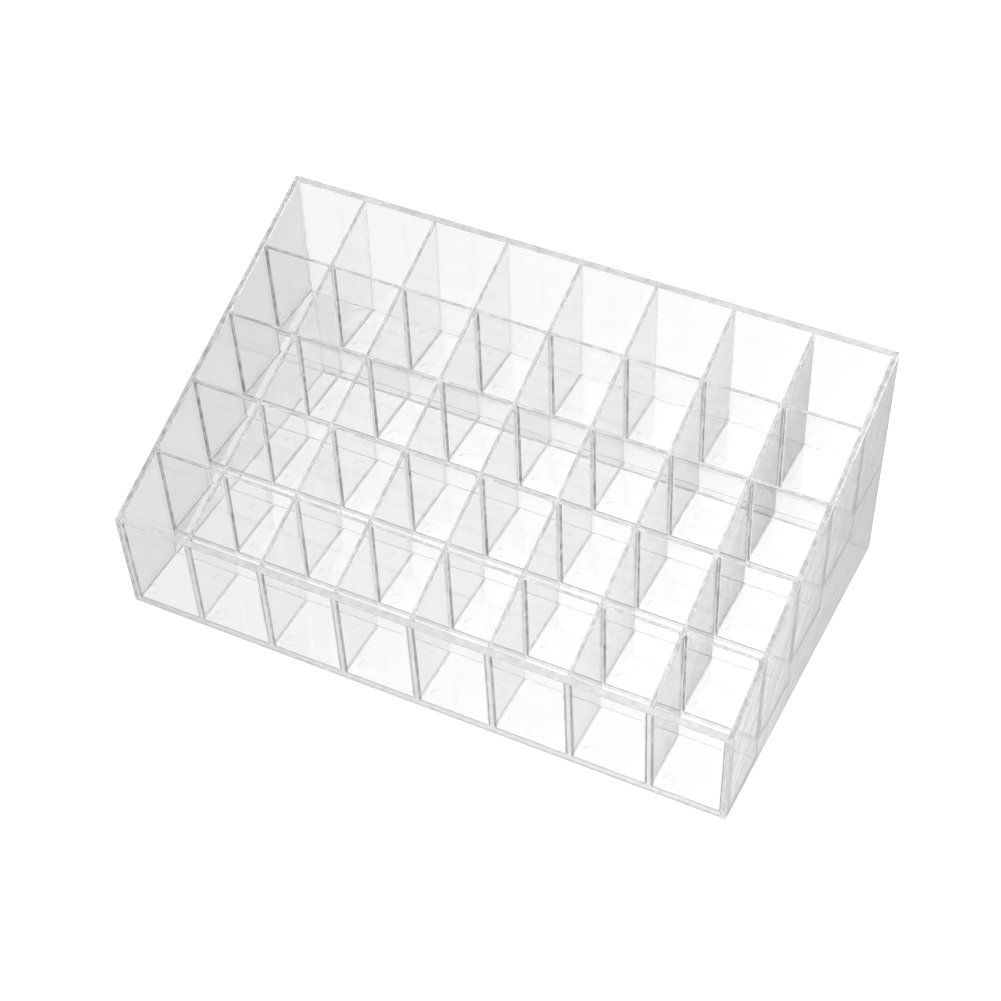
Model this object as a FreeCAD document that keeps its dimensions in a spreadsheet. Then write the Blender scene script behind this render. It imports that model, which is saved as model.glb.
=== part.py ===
import FreeCAD
import Part
import Sketcher
import os
import re

# Driving dimensions, in millimetres unless the name says otherwise
SIZES = {
    # Whole organizer, over its top edges: +X is its width, +Y its depth from front to back
    "overall_width": 222.0,
    "overall_depth": 131.3,
    "front_height": 39.4,
    "back_height": 89.1,
    # The four outer walls lean outwards from the table to the rim
    "draft_degrees": 1.2,
    "side_thickness": 2.0,
    "front_thickness": 2.4,
    "back_thickness": 2.2,
    "corner_radius": 0.7,
    # The grid of compartments
    "column_count": 8,
    "row_count": 5,
    # The front row is this much shorter than the others
    "front_row_trim": 1.6,
    "divider_thickness": 1.3,
    "cross_wall_thickness": 1.1,
    "edge_radius": 0.25,
    # The floor climbs one step from each row to the next
    "tread_thickness": 1.6,
    "floor_rise": 9.7,
    # Witness marks in two corners of each compartment's floor, near enough round for their size
    "mark_sides": 16,
    "mark_diameter": 4.2,
    "mark_inset": 4.4,
    "mark_depth": 0.3,
    # Fits: the bond line between panels, and the play of a lap joint
    "bond_gap": 0.05,
    "lap_clearance": 0.1,
    "cut_overrun": 5.0,
}

# The largest part of a panel's thickness that one rounded edge takes
ROUND_LIMIT_SHARE = 0.3
CORNER_LIMIT_SHARE = 0.8
# Points nearer than this are the same point
SAME_POINT = 1e-4

COLUMNS = int(SIZES["column_count"])
ROWS = int(SIZES["row_count"])
MARK_SIDES = int(SIZES["mark_sides"])

doc = FreeCAD.newDocument("vanity_organizer")
sheet = doc.addObject("Spreadsheet::Sheet", "Sizes")
for row, (alias, size) in enumerate(SIZES.items(), start=1):
    sheet.set(f"A{row}", alias)
    sheet.set(f"B{row}", str(size))
    sheet.setAlias(f"B{row}", alias)
doc.recompute()


def bound(expression):
    """The expression with each size's name written as its cell in the sheet."""
    return re.sub(r"[a-z_]+", lambda word: f"Sizes.{word[0]}" if word[0] in SIZES else word[0], expression)


def value(expression):
    """What the expression comes to with the sheet's sizes."""
    return float(sheet.evalExpression(bound(expression)))


# Where things are, as expressions in the sizes

SLOPE = "((back_height - front_height) / overall_depth)"
LEAN = "tan(draft_degrees)"
COLUMN_PITCH = "((overall_width - side_thickness) / column_count)"
INNER_DEPTH = "(overall_depth - front_thickness - back_thickness)"
ROW_CLEAR = f"(({INNER_DEPTH} + front_row_trim - (row_count - 1) * cross_wall_thickness) / row_count)"


def top_at(y):
    """Height of the sloping plane that all the top edges lie in."""
    return f"(front_height + ({y} + overall_depth / 2) * {SLOPE})"


def side_face(z):
    """Half the width between the side panels' inner faces at a height."""
    return f"(overall_width / 2 - side_thickness - {LEAN} * (back_height - {z}))"


def front_face(z):
    """Depth of the front panel's inner face at a height."""
    return f"(front_thickness - overall_depth / 2 + {LEAN} * (front_height - {z}))"


def back_face(z):
    """Depth of the back panel's inner face at a height."""
    return f"(overall_depth / 2 - back_thickness - {LEAN} * (back_height - {z}))"


# Where the inner faces of the front and back panels meet the sloping plane
FRONT_RIM = f"(front_thickness / (1 + {SLOPE} * {LEAN}) - overall_depth / 2)"
BACK_RIM = f"(overall_depth / 2 - back_thickness / (1 - {SLOPE} * {LEAN}))"


def divider_x(number):
    """Middle plane of a divider, counted from the left side panel."""
    return f"(({number} - column_count / 2) * {COLUMN_PITCH})"


def wall_y(number):
    """Middle plane of a cross wall, counted from the front panel."""
    rows_behind = f"(row_count - {number})"
    pitch = f"({ROW_CLEAR} + cross_wall_thickness)"
    return f"(overall_depth / 2 - back_thickness - {rows_behind} * {pitch} + cross_wall_thickness / 2)"


def floor_at(row):
    """Height of the floor of a row, counted from the front."""
    return f"(tread_thickness + ({row} - 1) * floor_rise)"


def seat_at(row):
    """Height at which the walls of a row stand, one bond line above its floor."""
    return f"({floor_at(row)} + bond_gap)"


def lap_at(number):
    """Height at which a cross wall's slots meet the dividers' slots."""
    return f"(({top_at(wall_y(number))} + {floor_at(number + 1)}) / 2)"


# Sketches and features

def new_body(label):
    body = doc.addObject("PartDesign::Body", label)
    body.Label = label
    return body


def new_sketch(body, name, role, height="0"):
    """A sketch on one of the body's own planes, raised along that plane's normal."""
    plane = next(item for item in body.Origin.OriginFeatures if item.Role == role)
    sketch = body.newObject("Sketcher::SketchObject", name)
    sketch.AttachmentSupport = [(plane, "")]
    sketch.MapMode = "FlatFace"
    sketch.setExpression("AttachmentOffset.Base.z", bound(height))
    return sketch


def pin_point(sketch, geometry, vertex, position):
    """Ties a point of the sketch to its two coordinates."""
    for kind, expression in zip(("DistanceX", "DistanceY"), position):
        distance = Sketcher.Constraint(kind, -1, 1, geometry, vertex, value(expression))
        index = sketch.addConstraint(distance)
        sketch.setExpression(f"Constraints[{index}]", bound(expression))


def draw_polygon(sketch, points):
    first = sketch.GeometryCount
    corners = [FreeCAD.Vector(value(x), value(y), 0) for x, y in points]
    for start, end in zip(corners, corners[1:] + corners[:1]):
        sketch.addGeometry(Part.LineSegment(start, end))
    for number, position in enumerate(points):
        line = first + number
        next_line = first + (number + 1) % len(points)
        sketch.addConstraint(Sketcher.Constraint("Coincident", line, 2, next_line, 1))
        pin_point(sketch, line, 1, position)


def draw_rectangle(sketch, low, high):
    draw_polygon(sketch, [low, (high[0], low[1]), high, (low[0], high[1])])


def draw_mark(sketch, x, y):
    """The outline of a witness mark about its centre."""
    turns = [f"(360 * {corner} / mark_sides)" for corner in range(MARK_SIDES)]
    radius = "mark_diameter / 2"
    corners = [(f"({x} + {radius} * cos({turn}))", f"({y} + {radius} * sin({turn}))") for turn in turns]
    draw_polygon(sketch, corners)


def pad(body, sketch, length, sides="Symmetric"):
    feature = body.newObject("PartDesign::Pad", f"{sketch.Name}_pad")
    feature.Profile = sketch
    feature.SideType = sides
    feature.setExpression("Length", bound(length))
    doc.recompute()
    return feature


def pocket(body, sketch, depth=None):
    """Cuts the sketch right through the body, or to a depth below the sketch."""
    before = body.Shape.Volume
    feature = body.newObject("PartDesign::Pocket", f"{sketch.Name}_pocket")
    feature.Profile = sketch
    if depth is None:
        feature.SideType = "Symmetric"
        feature.Type = "ThroughAll"
    else:
        feature.setExpression("Length", bound(depth))
    doc.recompute()
    if body.Shape.Volume >= before:
        raise RuntimeError(f"{feature.Name} cut nothing from {body.Label}")
    return feature


def repeat_along_x(body, feature, count):
    """Repeats a feature at each column, as often as the count says."""
    axis = next(item for item in body.Origin.OriginFeatures if item.Role == "X_Axis")
    pattern = body.newObject("PartDesign::LinearPattern", f"{feature.Name}_row")
    pattern.Originals = [feature]
    pattern.Direction = (axis, [""])
    pattern.Mode = "Spacing"
    pattern.setExpression("Occurrences", bound(count))
    pattern.setExpression("Offset", bound(COLUMN_PITCH))
    body.Tip = pattern
    doc.recompute()


def trim(body, name, role, outline):
    """Cuts away all of the body that lies outside the outline."""
    reach = "(overall_width + overall_depth + back_height)"
    sketch = new_sketch(body, name, role)
    draw_rectangle(sketch, (f"-{reach}", f"-{reach}"), (reach, reach))
    draw_polygon(sketch, outline)
    pocket(body, sketch)


def trim_between_sides(body):
    """Tapers the ends of a panel to the inner faces of the side panels."""
    low = f"({side_face('0')} - bond_gap)"
    high = f"({side_face('back_height')} - bond_gap)"
    rim = "back_height"
    trim(body, "end_trim", "XZ_Plane", [(f"-{low}", "0"), (low, "0"), (high, rim), (f"-{high}", rim)])


def on_rim(edge, shift):
    """Whether both ends of an edge lie in the sloping plane, for a body placed that far back."""
    slope = value(SLOPE)
    rim = value(top_at("0"))
    return all(abs(rim + slope * (end.Y + shift) - end.Z) < SAME_POINT for end in edge.Vertexes)


def runs_along(edge, axis):
    box = edge.BoundBox
    lengths = {"X": box.XLength, "Y": box.YLength, "Z": box.ZLength}
    return max(lengths, key=lengths.get) == axis


def round_edges(body, name, radius, chosen):
    """Rounds the edges that pass the test."""
    base = body.Tip
    names = [f"Edge{number}" for number, edge in enumerate(base.Shape.Edges, start=1) if chosen(edge)]
    fillet = body.newObject("PartDesign::Fillet", name)
    fillet.Base = (base, names)
    fillet.setExpression("Radius", bound(radius))
    doc.recompute()


def round_rim(body, thickness, axis, shift="0"):
    """Rounds the two long top edges of a panel."""
    radius = f"min(edge_radius; {thickness} * {ROUND_LIMIT_SHARE})"
    depth = value(shift)
    round_edges(body, "rim_round", radius, lambda edge: on_rim(edge, depth) and runs_along(edge, axis))


# Outer panels

def is_outside(edge, middle):
    """Whether an edge starts on the table further from the middle of the organizer than that."""
    foot = min(edge.Vertexes, key=lambda end: end.Z)
    return abs(foot.X) > middle


def side_panel(label, side):
    """A leaning trapezoid as deep as the organizer, with its outer corners rounded."""
    def outer(z):
        return f"(overall_width / 2 - {LEAN} * (back_height - {z}))"

    body = new_body(label)
    section = new_sketch(body, "section", "XZ_Plane")
    low = outer("0")
    high = outer("back_height")
    draw_polygon(section, [
        (f"{side} * {low}", "0"),
        (f"{side} * {high}", "back_height"),
        (f"{side} * ({high} - side_thickness)", "back_height"),
        (f"{side} * ({low} - side_thickness)", "0"),
    ])
    pad(body, section, "overall_depth")
    trim(body, "outline_trim", "YZ_Plane", [
        (f"({front_face('0')} - front_thickness)", "0"),
        (f"({back_face('0')} + back_thickness)", "0"),
        ("overall_depth / 2", "back_height"),
        ("-overall_depth / 2", "front_height"),
    ])
    middle = value(f"{outer('0')} - side_thickness / 2")
    corner = f"min(corner_radius; side_thickness * {CORNER_LIMIT_SHARE})"
    round_edges(body, "corner_round", corner, lambda edge: runs_along(edge, "Z") and is_outside(edge, middle))
    round_rim(body, "side_thickness", "Y")
    return body


def front_panel():
    """A low leaning panel between the side panels."""
    body = new_body("front_panel")
    section = new_sketch(body, "section", "YZ_Plane")
    draw_polygon(section, [
        (f"({front_face('0')} - front_thickness)", "0"),
        (front_face("0"), "0"),
        (FRONT_RIM, top_at(FRONT_RIM)),
        ("-overall_depth / 2", "front_height"),
    ])
    pad(body, section, "overall_width")
    trim_between_sides(body)
    round_rim(body, "front_thickness", "X")
    return body


def back_panel():
    """A tall leaning panel between the side panels."""
    body = new_body("back_panel")
    section = new_sketch(body, "section", "YZ_Plane")
    draw_polygon(section, [
        (back_face("0"), "0"),
        (f"({back_face('0')} + back_thickness)", "0"),
        ("overall_depth / 2", "back_height"),
        (BACK_RIM, top_at(BACK_RIM)),
    ])
    pad(body, section, "overall_width")
    trim_between_sides(body)
    round_rim(body, "back_thickness", "X")
    return body


# The stepped floor

def floor_tread(row):
    """The floor of one row, which carries the cross wall behind it on its back margin."""
    under = f"(({row} - 1) * floor_rise)"
    half_width = f"({side_face(under)} - bond_gap)"
    if row == 1:
        front = f"({front_face(under)} + bond_gap)"
    else:
        front = f"({wall_y(row - 1)} + cross_wall_thickness / 2 + bond_gap)"
    if row == ROWS:
        back = f"({back_face(under)} - bond_gap)"
        cell_back = back
    else:
        back = f"({wall_y(row)} + cross_wall_thickness / 2)"
        cell_back = f"({back} - cross_wall_thickness)"
    body = new_body(f"floor_tread_{row}")
    body.setExpression("Placement.Base.z", bound(under))
    outline = new_sketch(body, "outline", "XY_Plane")
    draw_rectangle(outline, (f"-{half_width}", front), (half_width, back))
    pad(body, outline, "tread_thickness", "One side")
    marks = new_sketch(body, "marks", "XY_Plane", "tread_thickness")
    left = f"({divider_x(0)} + divider_thickness / 2 + mark_inset)"
    right = f"({divider_x(1)} - divider_thickness / 2 - mark_inset)"
    draw_mark(marks, left, f"({front} + mark_inset)")
    draw_mark(marks, right, f"({cell_back} - mark_inset)")
    repeat_along_x(body, pocket(body, marks, "mark_depth"), "column_count")
    return body


# The grid of compartments

def cross_wall(number):
    """A wall between two rows, which is also the riser between their floors.

    It stands on the lower floor and has a slot for each divider, open at the top.
    """
    middle = wall_y(number)
    half = "cross_wall_thickness / 2"
    foot = seat_at(number)
    body = new_body(f"cross_wall_{number}")
    body.setExpression("Placement.Base.y", bound(middle))
    section = new_sketch(body, "section", "YZ_Plane")
    draw_polygon(section, [
        (f"-{half}", foot),
        (half, foot),
        (half, top_at(f"{middle} + {half}")),
        (f"-{half}", top_at(f"{middle} - {half}")),
    ])
    pad(body, section, "overall_width")
    trim_between_sides(body)
    slot = new_sketch(body, "lap_slot", "XZ_Plane")
    half_slot = "(divider_thickness / 2 + lap_clearance)"
    low = (f"{divider_x(1)} - {half_slot}", lap_at(number))
    high = (f"{divider_x(1)} + {half_slot}", "back_height + cut_overrun")
    draw_rectangle(slot, low, high)
    repeat_along_x(body, pocket(body, slot), "column_count - 1")
    round_rim(body, "cross_wall_thickness", "X", middle)
    return body


def divider(number):
    """A panel from front to back whose lower edge climbs the floor in steps.

    At each cross wall it has a slot, open at the bottom, that straddles the wall.
    """
    half_slot = "(cross_wall_thickness / 2 + lap_clearance)"
    points = [(f"({front_face(seat_at(1))} + bond_gap)", seat_at(1))]
    for wall in range(1, ROWS):
        near = f"({wall_y(wall)} - {half_slot})"
        far = f"({wall_y(wall)} + {half_slot})"
        slot_top = f"({lap_at(wall)} + lap_clearance)"
        points += [(near, seat_at(wall)), (near, slot_top), (far, slot_top), (far, seat_at(wall + 1))]
    points.append((f"({back_face(seat_at(ROWS))} - bond_gap)", seat_at(ROWS)))
    for end in (f"({BACK_RIM} - bond_gap)", f"({FRONT_RIM} + bond_gap)"):
        points.append((end, top_at(end)))
    body = new_body(f"divider_{number}")
    body.setExpression("Placement.Base.x", bound(divider_x(number)))
    outline = new_sketch(body, "outline", "YZ_Plane")
    draw_polygon(outline, points)
    pad(body, outline, "divider_thickness")
    round_rim(body, "divider_thickness", "Y")
    return body


bodies = [side_panel("left_side_panel", -1), side_panel("right_side_panel", 1)]
bodies += [front_panel(), back_panel()]
bodies += [floor_tread(row) for row in range(1, ROWS + 1)]
bodies += [cross_wall(number) for number in range(1, ROWS)]
bodies += [divider(number) for number in range(1, COLUMNS)]
doc.recompute()

# Nothing is written unless every object is sound
for item in doc.Objects:
    if "Invalid" in item.State or "Error" in item.State:
        raise RuntimeError(f"{item.Label} failed: {item.State}")
for body in bodies:
    if body.Shape.isNull() or not body.Shape.isValid() or len(body.Shape.Solids) != 1:
        raise RuntimeError(f"{body.Label} is not one sound solid")

os.makedirs("parts", exist_ok=True)
for body in bodies:
    body.Shape.exportStep(f"parts/{body.Label}.step")
    box = body.Shape.BoundBox
    print(f"{body.Label}: {box.XLength:.1f} x {box.YLength:.1f} x {box.ZLength:.1f} mm")
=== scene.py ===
import math
from collections import namedtuple

import bmesh
import bpy
from mathutils import Matrix, Vector


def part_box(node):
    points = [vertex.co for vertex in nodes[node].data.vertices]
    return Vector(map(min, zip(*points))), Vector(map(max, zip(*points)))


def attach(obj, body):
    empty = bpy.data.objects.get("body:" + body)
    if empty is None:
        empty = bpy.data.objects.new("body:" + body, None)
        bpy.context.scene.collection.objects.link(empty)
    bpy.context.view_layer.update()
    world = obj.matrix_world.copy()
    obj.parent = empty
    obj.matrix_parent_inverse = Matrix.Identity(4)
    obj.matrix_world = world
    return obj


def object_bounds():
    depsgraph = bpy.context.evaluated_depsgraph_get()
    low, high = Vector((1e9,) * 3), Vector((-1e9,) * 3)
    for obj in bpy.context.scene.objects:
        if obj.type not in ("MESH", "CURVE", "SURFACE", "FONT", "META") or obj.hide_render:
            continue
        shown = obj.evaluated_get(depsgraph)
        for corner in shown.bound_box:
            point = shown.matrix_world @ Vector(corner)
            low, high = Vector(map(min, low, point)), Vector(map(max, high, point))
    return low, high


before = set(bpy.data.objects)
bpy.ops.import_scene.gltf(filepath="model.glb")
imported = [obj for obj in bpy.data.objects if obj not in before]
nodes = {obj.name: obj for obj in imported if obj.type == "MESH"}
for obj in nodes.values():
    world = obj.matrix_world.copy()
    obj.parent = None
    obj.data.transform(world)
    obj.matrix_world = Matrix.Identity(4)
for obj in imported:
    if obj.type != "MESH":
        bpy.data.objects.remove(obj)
cad_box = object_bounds()

# The photograph's camera: a square frame, with the focal length in its pixels
IMAGE_PIXELS = 1001
FOCAL_PIXELS = 2309
CAMERA_PLACE = Vector((0.25556, -0.47157, 0.58569))
CAMERA_HEADING = math.radians(28.48)
CAMERA_PITCH = math.radians(45.76)
CAMERA_ROLL = math.radians(-2.67)
SENSOR_WIDTH = 36.0
CLIP_START = 0.01
CLIP_END = 100.0

# The studio: a white floor that glows where it is seen, a sky that darkens upwards, and two soft lamps
FLOOR_REACH = 6.0
FLOOR_DROP = 0.0002
FLOOR_ALBEDO = 0.9
BACKGROUND_GLOW = 0.5
GLASS_GLOW = 0.4
SKY_HEIGHTS = (0.05, 0.5)
SKY_LEVELS = (0.9, 0.4)
Lamp = namedtuple("Lamp", "place size power")
LAMPS = {
    "card": Lamp(Vector((-0.3, 0.9, 1.2)), (0.7, 0.7), 2.4),
    "key": Lamp(Vector((0.95, -0.75, 0.55)), (0.9, 0.6), 17.0),
}

# Light passes many walls before it reaches the floor
GLASS_BOUNCES = 160
CLEAR_BOUNCES = 96

# The plastic: painted shade, a grey by the share of light that its surface mirrors, which darkens what is
# seen through it at a grazing angle in place of dark reflections; the left, right and back panels have their
# own levels of it, for light that falls unevenly on them
PLASTIC_IOR = 1.56
INNER_PAINTED_SHADES = [
    (0.0, 1.0), (0.058, 1.0), (0.08, 0.94), (0.1, 0.91), (0.14, 0.9), (0.2, 0.84),
    (0.245, 0.78), (0.262, 0.66), (0.29, 0.66), (0.308, 0.4), (1.0, 0.36),
]
LEFT_PAINTED_SHADES = [(0.0, 1.0), (0.07, 0.92), (0.106, 0.72), (1.0, 0.6)]
RIGHT_PAINTED_SHADES = [(0.0, 1.0), (0.07, 0.96), (0.35, 0.9), (0.39, 0.48), (1.0, 0.4)]
BACK_PAINTED_SHADES = [(0.0, 1.0), (0.055, 0.97), (0.07, 0.92), (1.0, 0.7)]
# The left panel's skirt below the floors: one lighter grey of painted shade in place of the grazing-angle
# shade
LEFT_SKIRT_PAINTED_SHADE = 0.95
LIT_SHARE = 0.99

# The plastic's faint haze and flow marks
HAZE_GRAIN = 45.0
HAZE_DETAIL = 4.0
HAZE_ROUGHNESS = 0.03
FLOW_GRAIN = 60.0
FLOW_DETAIL = 2.0
FLOW_STRENGTH = 0.05
FLOW_DEPTH = 0.001

# The top edges: their greys, grain and smoothness, and how much is seen down through them. The greys are
# partly the plastic's absorption on the long way down and partly painted shade for the shaded floor under
# the panels, and the grain mottles them with painted light and shade in place of the broken highlights of a
# wavy rim
SIDE_RIM = 0.66
BACK_RIM = 1.0
FRONT_RIM = 1.0
DIVIDER_RIM = 0.79
CROSS_RIM = 0.84
RIM_SPREAD = 0.22
RIM_GRAIN = 400.0
RIM_ROUGHNESS = 0.15
RIM_CLEAR_SHARE = 0.35

# The cement on the edges by which the panels are joined: its darkest and lightest grey and its clear share.
# The pale film is the cement's cloudiness; the greyer and darker films are partly cement and partly painted
# shade for the light that the joints turn away
PALE_FILM = (0.85, 0.98, 0.5)
GREY_FILM_AND_SHADE = (0.5, 0.8, 0.4)
DARK_FILM_AND_SHADE = (0.04, 0.3, 0.15)
POST_FILM_AND_SHADE = (0.05, 0.65, 0.3)
FOOT_FILM_AND_SHADE = (0.25, 0.5, 0.35)
FILM_GRAIN = 450.0
FILM_ROUGHNESS = 0.4
END_SHARE = 0.9

# The clouds in the greys of rims and cement: the part of the noise's range that is spread over the greys
CLOUD_RANGE = (0.3, 0.7)
CLOUD_DETAIL = 3.0

# The fillets of cement in the inner corners of the compartments
FOOT_LEG = 0.0005
POST_LEG = 0.0011
FILLET_GAP = 0.00003
FILLET_STEPS = 4
FILLET_RIM_MARGIN = 0.0006

# Directions, and the least cosine at which a face still counts as looking along one
ACROSS = (1.0, 0.0, 0.0)
ALONG = (0.0, 1.0, 0.0)
UPRIGHT = (0.0, 0.0, 1.0)
RIM_COSINE = 0.995
WALL_COSINE = 0.99
EDGE_COSINE = 0.98
MARK_COSINE = 0.7


class Tree:
    """A material's or world's node tree, built one node at a time."""

    def __init__(self, tree):
        self.tree = tree
        tree.nodes.clear()

    def add(self, kind, links=None, **settings):
        """A new node with its settings, and its inputs linked or set."""
        node = self.tree.nodes.new(kind)
        for name, setting in settings.items():
            setattr(node, name, setting)
        for name, source in (links or {}).items():
            if isinstance(source, bpy.types.NodeSocket):
                self.tree.links.new(source, node.inputs[name])
            else:
                node.inputs[name].default_value = source
        return node

    def calculate(self, operation, *values):
        """The result of an operation on numbers."""
        return self.add("ShaderNodeMath", dict(enumerate(values)), operation=operation).outputs[0]

    def dot(self, first, second):
        """The dot product of two vectors."""
        product = self.add("ShaderNodeVectorMath", {0: first, 1: second}, operation="DOT_PRODUCT")
        return product.outputs["Value"]

    def remap(self, value, source, target):
        """A number moved from the source range to the target range."""
        ends = {"From Min": source[0], "From Max": source[1], "To Min": target[0], "To Max": target[1]}
        return self.add("ShaderNodeMapRange", {"Value": value, **ends}).outputs["Result"]

    def noise(self, place, grain, detail):
        """A cloudy number about a half."""
        cloud = self.add("ShaderNodeTexNoise", {"Vector": place, "Scale": grain, "Detail": detail})
        return cloud.outputs["Fac"]

    def mottled(self, place, grain, greys):
        """A cloudy grey between two levels."""
        return self.remap(self.noise(place, grain, CLOUD_DETAIL), CLOUD_RANGE, greys)

    def recolour(self, share, start, end):
        """A colour that goes from start to end with the share; inputs 6 and 7 of a Mix node are colours."""
        return self.add("ShaderNodeMix", {"Factor": share, 6: start, 7: end}, data_type="RGBA").outputs[2]

    def blend(self, share, start, end):
        """A number that goes from start to end with the share."""
        mixed = self.add("ShaderNodeMix", {"Factor": share, "A": start, "B": end}, data_type="FLOAT")
        return mixed.outputs["Result"]


def grey(level):
    """A grey as a colour."""
    return (level, level, level, 1.0)


def sloping_plane(low, high):
    """The plane through two edges that run across the organizer, as its normal and distance."""
    normal = Vector((0.0, low[2] - high[2], high[1] - low[1])).normalized()
    return normal, normal.dot(Vector(low))


def rim_plane():
    """The plane of all the top edges."""
    return sloping_plane(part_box("cross_wall_1")[1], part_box("cross_wall_4")[1])


def facing(tree, direction, cosine):
    """1 on the faces that look along a direction, either way."""
    normal = tree.add("ShaderNodeTexCoord").outputs["Normal"]
    return tree.calculate("GREATER_THAN", tree.calculate("ABSOLUTE", tree.dot(normal, direction)), cosine)


def at_ends(tree, place):
    """1 on the ends of a panel that runs across the organizer, beside the side panels."""
    x = tree.add("ShaderNodeSeparateXYZ", {"Vector": place}).outputs["X"]
    outside = tree.calculate("GREATER_THAN", tree.calculate("ABSOLUTE", x), END_SHARE * cad_box[1][0])
    return tree.calculate("MULTIPLY", facing(tree, ACROSS, EDGE_COSINE), outside)


def below_floor(tree, place):
    """1 on the skirt of a side panel, below the line of the floors' back edges."""
    normal, distance = sloping_plane(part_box("floor_tread_1")[1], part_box("floor_tread_5")[1])
    return tree.calculate("LESS_THAN", tree.dot(place, normal), distance)


def painted_glance_shade(tree, painted_shades):
    """Painted shade on the plastic: a grey by the share of light that its surface mirrors."""
    glance = tree.add("ShaderNodeFresnel", {"IOR": PLASTIC_IOR})
    shade_ramp = tree.add("ShaderNodeValToRGB", {"Fac": glance.outputs["Fac"]})
    ramp = shade_ramp.color_ramp
    while len(ramp.elements) < len(painted_shades):
        ramp.elements.new(1.0)
    for element, (share, level) in zip(ramp.elements, painted_shades):
        element.position = share
        element.color = grey(level)
    return shade_ramp.outputs["Color"]


def put_surface(tree, place, colour, rough, clear):
    """The finished plastic, with faint flow marks, which lets the light of the lamps straight through."""
    flow = tree.noise(place, FLOW_GRAIN, FLOW_DETAIL)
    bump = tree.add("ShaderNodeBump", {"Height": flow, "Strength": FLOW_STRENGTH, "Distance": FLOW_DEPTH})
    surface = tree.add("ShaderNodeBsdfPrincipled", {
        "Base Color": colour,
        "Roughness": rough,
        "Normal": bump.outputs["Normal"],
        "IOR": PLASTIC_IOR,
        "Transmission Weight": clear,
    })
    open_way = tree.add("ShaderNodeBsdfTransparent", {"Color": grey(LIT_SHARE)})
    path = tree.add("ShaderNodeLightPath").outputs
    light = tree.calculate("MAXIMUM", path["Is Shadow Ray"], path["Is Diffuse Ray"])
    ways = {0: light, 1: surface.outputs["BSDF"], 2: open_way.outputs["BSDF"]}
    both = tree.add("ShaderNodeMixShader", ways)
    tree.add("ShaderNodeOutputMaterial", {"Surface": both.outputs[0]})


def clear_plastic(
    name, painted_shades, rim_absorption_and_shade=1.0, films_and_shade=None, film_cosine=EDGE_COSINE, end_film_and_shade=None, skirt_painted_shade=None
):
    """Polished clear plastic, with painted shade that darkens what is seen through it at a grazing angle.

    The sides that face along each film's axis, by which the panel is cemented to its neighbours, are cloudy;
    the darker films paint shade there too.
    """
    material = bpy.data.materials.new(name)
    material.use_nodes = True
    tree = Tree(material.node_tree)
    place = tree.add("ShaderNodeTexCoord").outputs["Object"]
    # Painted shade by the angle of view
    colour = painted_glance_shade(tree, painted_shades)
    rough = tree.remap(tree.noise(place, HAZE_GRAIN, HAZE_DETAIL), (0.0, 1.0), (0.0, HAZE_ROUGHNESS))

    # Top edges: a mottled grey, partly absorption and partly painted shade and painted broken highlights
    rim = facing(tree, rim_plane()[0], RIM_COSINE)
    rim_greys = (rim_absorption_and_shade - RIM_SPREAD, min(rim_absorption_and_shade + RIM_SPREAD, 1.0))
    colour = tree.recolour(rim, colour, tree.mottled(place, RIM_GRAIN, rim_greys))
    rough = tree.blend(rim, rough, RIM_ROUGHNESS)
    clear = tree.blend(rim, 1.0, RIM_CLEAR_SHARE)

    # Painted shade: the skirt below the floors takes one fixed grey in place of the grazing-angle shade
    if skirt_painted_shade:
        colour = tree.recolour(below_floor(tree, place), colour, grey(skirt_painted_shade))
    coats = [(facing(tree, axis, film_cosine), film) for axis, film in (films_and_shade or {}).items()]
    # The ends beside the side panels: a nearly black film, partly cement and partly painted shade for light
    # that the joint turns away
    if end_film_and_shade:
        coats.append((at_ends(tree, place), end_film_and_shade))
    for share, (low, high, film_clear) in coats:
        colour = tree.recolour(share, colour, tree.mottled(place, FILM_GRAIN, (low, high)))
        rough = tree.blend(share, rough, FILM_ROUGHNESS)
        clear = tree.blend(share, clear, film_clear)
    put_surface(tree, place, colour, rough, clear)
    return material


side_films = {UPRIGHT: PALE_FILM}
end_wall_films_and_shade = {ACROSS: GREY_FILM_AND_SHADE, UPRIGHT: GREY_FILM_AND_SHADE}
tread_films_and_shade = {ACROSS: FOOT_FILM_AND_SHADE, ALONG: PALE_FILM}
cross_wall_films = {ACROSS: PALE_FILM, UPRIGHT: PALE_FILM}
divider_films = {ALONG: PALE_FILM, UPRIGHT: PALE_FILM}
FINISHES = {
    "left_side_panel": clear_plastic(
        "clear_plastic_left_panel", LEFT_PAINTED_SHADES, SIDE_RIM, side_films, skirt_painted_shade=LEFT_SKIRT_PAINTED_SHADE
    ),
    "right_side_panel": clear_plastic("clear_plastic_right_panel", RIGHT_PAINTED_SHADES, SIDE_RIM, side_films),
    "front_panel": clear_plastic("clear_plastic_front_panel", INNER_PAINTED_SHADES, FRONT_RIM, end_wall_films_and_shade),
    "back_panel": clear_plastic("clear_plastic_back_panel", BACK_PAINTED_SHADES, BACK_RIM, end_wall_films_and_shade),
    "floor_tread": clear_plastic(
        "clear_plastic_tread", INNER_PAINTED_SHADES, CROSS_RIM, tread_films_and_shade, MARK_COSINE, DARK_FILM_AND_SHADE
    ),
    "cross_wall": clear_plastic(
        "clear_plastic_cross_wall", INNER_PAINTED_SHADES, CROSS_RIM, cross_wall_films, end_film_and_shade=DARK_FILM_AND_SHADE
    ),
    "divider": clear_plastic("clear_plastic_divider", INNER_PAINTED_SHADES, DIVIDER_RIM, divider_films),
}
for name, node in nodes.items():
    kind = name.rstrip("_0123456789")
    node.data.materials.clear()
    node.data.materials.append(FINISHES[kind])

Walls = namedtuple("Walls", "left right front back floor")


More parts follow.
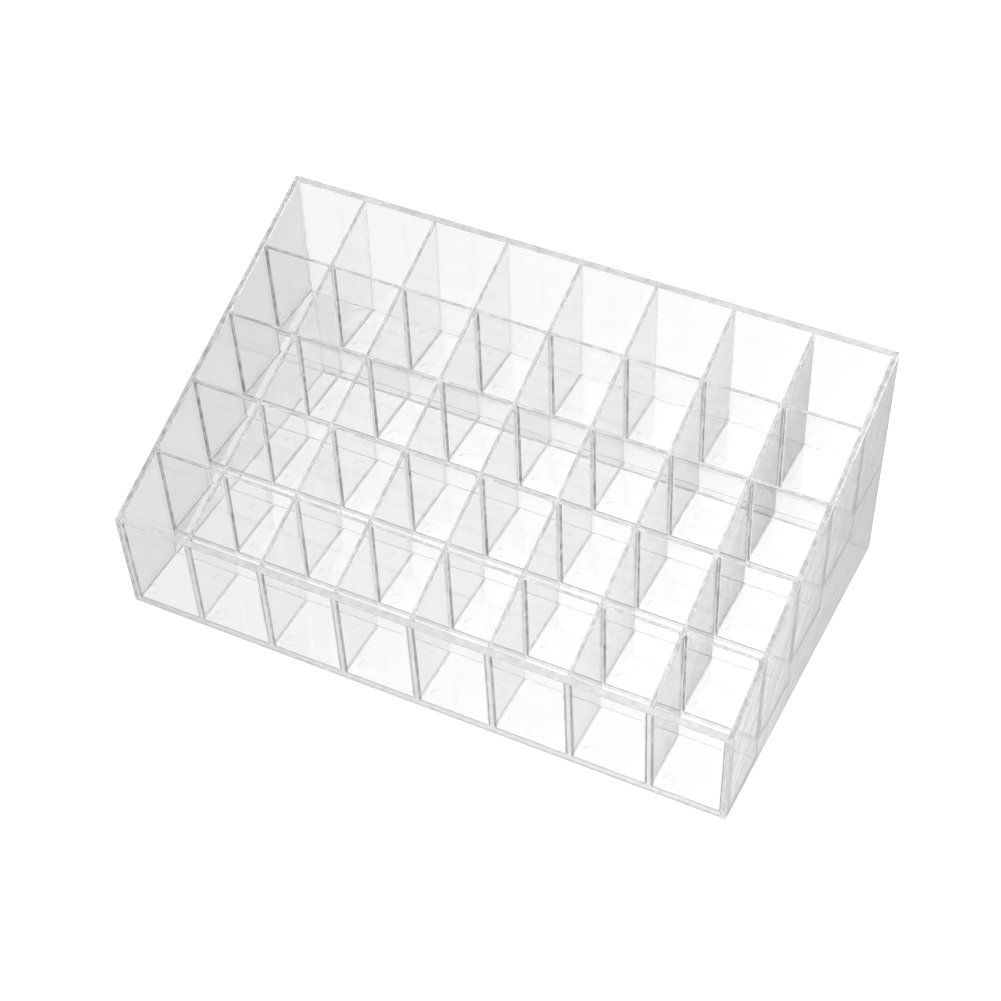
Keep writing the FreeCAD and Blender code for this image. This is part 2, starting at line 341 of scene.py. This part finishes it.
def flat_face(name, direction):
    """The plane of a node's widest face that looks along a direction, as its normal and distance."""
    matching = [face for face in nodes[name].data.polygons if face.normal.dot(direction) > WALL_COSINE]
    widest = max(matching, key=lambda face: face.area)
    return widest.normal.copy(), widest.normal.dot(widest.center)


def shifted(plane, way):
    """A plane moved along its normal."""
    normal, distance = plane
    return normal, distance + way


def meeting_point(*planes):
    """The point that three planes share."""
    normals = Matrix([normal for normal, distance in planes])
    return normals.inverted() @ Vector([distance for normal, distance in planes])


def add_fillet(mesh, leg, first, last, start, end):
    """A concave fillet along a corner, between the planes first and last, from start to end."""
    radius = leg - FILLET_GAP
    outline = [(FILLET_GAP, FILLET_GAP)]
    for step in range(FILLET_STEPS + 1):
        turn = math.pi / 2 * step / FILLET_STEPS
        outline.append((leg - radius * math.sin(turn), leg - radius * math.cos(turn)))
    ends = []
    for corner in (start, end):
        ends.append([mesh.verts.new(corner + first[0] * off + last[0] * away) for off, away in outline])
    faces = [mesh.faces.new(ends[0]), mesh.faces.new(ends[1])]
    for here in range(len(outline)):
        there = (here + 1) % len(outline)
        faces.append(mesh.faces.new((ends[0][here], ends[0][there], ends[1][there], ends[1][here])))
    bmesh.ops.recalc_face_normals(mesh, faces=faces)


def add_feet(mesh, walls):
    """The fillets along the sides and the front of one compartment's floor."""
    sides = (walls.left, walls.right)
    for side in sides:
        start, end = [meeting_point(side, walls.floor, wall) for wall in (walls.front, walls.back)]
        add_fillet(mesh, FOOT_LEG, side, walls.floor, start, end)
    start, end = [meeting_point(walls.front, walls.floor, shifted(side, FOOT_LEG)) for side in sides]
    add_fillet(mesh, FOOT_LEG, walls.front, walls.floor, start, end)


def add_posts(mesh, walls):
    """The fillets up the two front corners of one compartment."""
    foot = shifted(walls.floor, FOOT_LEG)
    head = shifted(rim_plane(), -FILLET_RIM_MARGIN)
    for side in (walls.left, walls.right):
        start, end = [meeting_point(side, walls.front, level) for level in (foot, head)]
        add_fillet(mesh, POST_LEG, side, walls.front, start, end)


def make_fillets(name, add_some, finish):
    """Fillets in all the compartments, in one piece."""
    kinds = {kind: [node for node in sorted(nodes) if node.startswith(kind)] for kind in FINISHES}
    across = ["left_side_panel", *kinds["divider"], "right_side_panel"]
    along = ["front_panel", *kinds["cross_wall"], "back_panel"]
    mesh = bmesh.new()
    for left, right in zip(across, across[1:]):
        for front, back, floor in zip(along, along[1:], kinds["floor_tread"]):
            walls = Walls(
                flat_face(left, Vector(ACROSS)),
                flat_face(right, -Vector(ACROSS)),
                flat_face(front, Vector(ALONG)),
                flat_face(back, -Vector(ALONG)),
                flat_face(floor, Vector(UPRIGHT)),
            )
            add_some(mesh, walls)
    data = bpy.data.meshes.new(name)
    mesh.to_mesh(data)
    mesh.free()
    piece = bpy.data.objects.new(name, data)
    bpy.context.scene.collection.objects.link(piece)
    data.materials.append(finish)
    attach(piece, "root")


def make_floor():
    """The white floor, which glows for the camera and through the plastic."""
    mesh = bpy.data.meshes.new("floor")
    corners = [(-1, -1), (1, -1), (1, 1), (-1, 1)]
    places = [(x * FLOOR_REACH, y * FLOOR_REACH, -FLOOR_DROP) for x, y in corners]
    mesh.from_pydata(places, [], [(0, 1, 2, 3)])
    floor = bpy.data.objects.new("floor", mesh)
    bpy.context.scene.collection.objects.link(floor)
    material = bpy.data.materials.new("white_floor")
    material.use_nodes = True
    tree = Tree(material.node_tree)
    paper = tree.add("ShaderNodeBsdfDiffuse", {"Color": grey(FLOOR_ALBEDO)})
    path = tree.add("ShaderNodeLightPath").outputs
    open_view = tree.calculate("MULTIPLY", path["Is Camera Ray"], BACKGROUND_GLOW)
    strength = tree.calculate("MULTIPLY_ADD", path["Is Transmission Ray"], GLASS_GLOW, open_view)
    glow = tree.add("ShaderNodeEmission", {"Strength": strength})
    both = tree.add("ShaderNodeAddShader", {0: paper.outputs[0], 1: glow.outputs[0]})
    tree.add("ShaderNodeOutputMaterial", {"Surface": both.outputs[0]})
    mesh.materials.append(material)


def make_world():
    """A sky that darkens upwards, and is white where the camera looks past the floor."""
    world = bpy.data.worlds.new("studio")
    bpy.context.scene.world = world
    world.use_nodes = True
    tree = Tree(world.node_tree)
    direction = tree.add("ShaderNodeTexCoord").outputs["Generated"]
    height = tree.add("ShaderNodeSeparateXYZ", {"Vector": direction}).outputs["Z"]
    shade = tree.remap(height, SKY_HEIGHTS, SKY_LEVELS)
    seen = tree.add("ShaderNodeLightPath").outputs["Is Camera Ray"]
    background = tree.add("ShaderNodeBackground", {"Strength": tree.calculate("MAXIMUM", shade, seen)})
    tree.add("ShaderNodeOutputWorld", {"Surface": background.outputs[0]})


def add_softbox(name, lamp):
    """A soft lamp that looks at the organizer's place on the floor."""
    light = bpy.data.lights.new(name, "AREA")
    light.shape = "RECTANGLE"
    light.size, light.size_y = lamp.size
    light.energy = lamp.power
    holder = bpy.data.objects.new(name, light)
    bpy.context.scene.collection.objects.link(holder)
    holder.location = lamp.place
    holder.rotation_mode = "QUATERNION"
    holder.rotation_quaternion = (-lamp.place).to_track_quat("-Z", "Y")


def make_camera():
    """The photograph's camera."""
    camera = bpy.data.cameras.new("camera")
    camera.sensor_width = SENSOR_WIDTH
    camera.lens = SENSOR_WIDTH * FOCAL_PIXELS / IMAGE_PIXELS
    camera.clip_start = CLIP_START
    camera.clip_end = CLIP_END
    holder = bpy.data.objects.new("camera", camera)
    bpy.context.scene.collection.objects.link(holder)
    turn = Matrix.Rotation(CAMERA_HEADING, 4, "Z")
    tilt = Matrix.Rotation(math.pi / 2 - CAMERA_PITCH, 4, "X")
    roll = Matrix.Rotation(CAMERA_ROLL, 4, "Z")
    holder.matrix_world = Matrix.Translation(CAMERA_PLACE) @ turn @ tilt @ roll
    bpy.context.scene.camera = holder


# Cement fillets, whose greyer films are partly painted shade
foot_films_and_shade = {ACROSS: GREY_FILM_AND_SHADE, ALONG: FOOT_FILM_AND_SHADE}
post_films_and_shade = {ACROSS: POST_FILM_AND_SHADE}
make_fillets("foot_fillets", add_feet, clear_plastic("clear_cement", INNER_PAINTED_SHADES, films_and_shade=foot_films_and_shade))
make_fillets("corner_fillets", add_posts, clear_plastic("cloudy_cement", INNER_PAINTED_SHADES, films_and_shade=post_films_and_shade))
make_floor()
make_world()
for name, lamp in LAMPS.items():
    add_softbox(name, lamp)
make_camera()

scene = bpy.context.scene
scene.view_settings.view_transform = "Standard"
scene.cycles.max_bounces = GLASS_BOUNCES
scene.cycles.transmission_bounces = GLASS_BOUNCES
scene.cycles.glossy_bounces = GLASS_BOUNCES
scene.cycles.transparent_max_bounces = CLEAR_BOUNCES
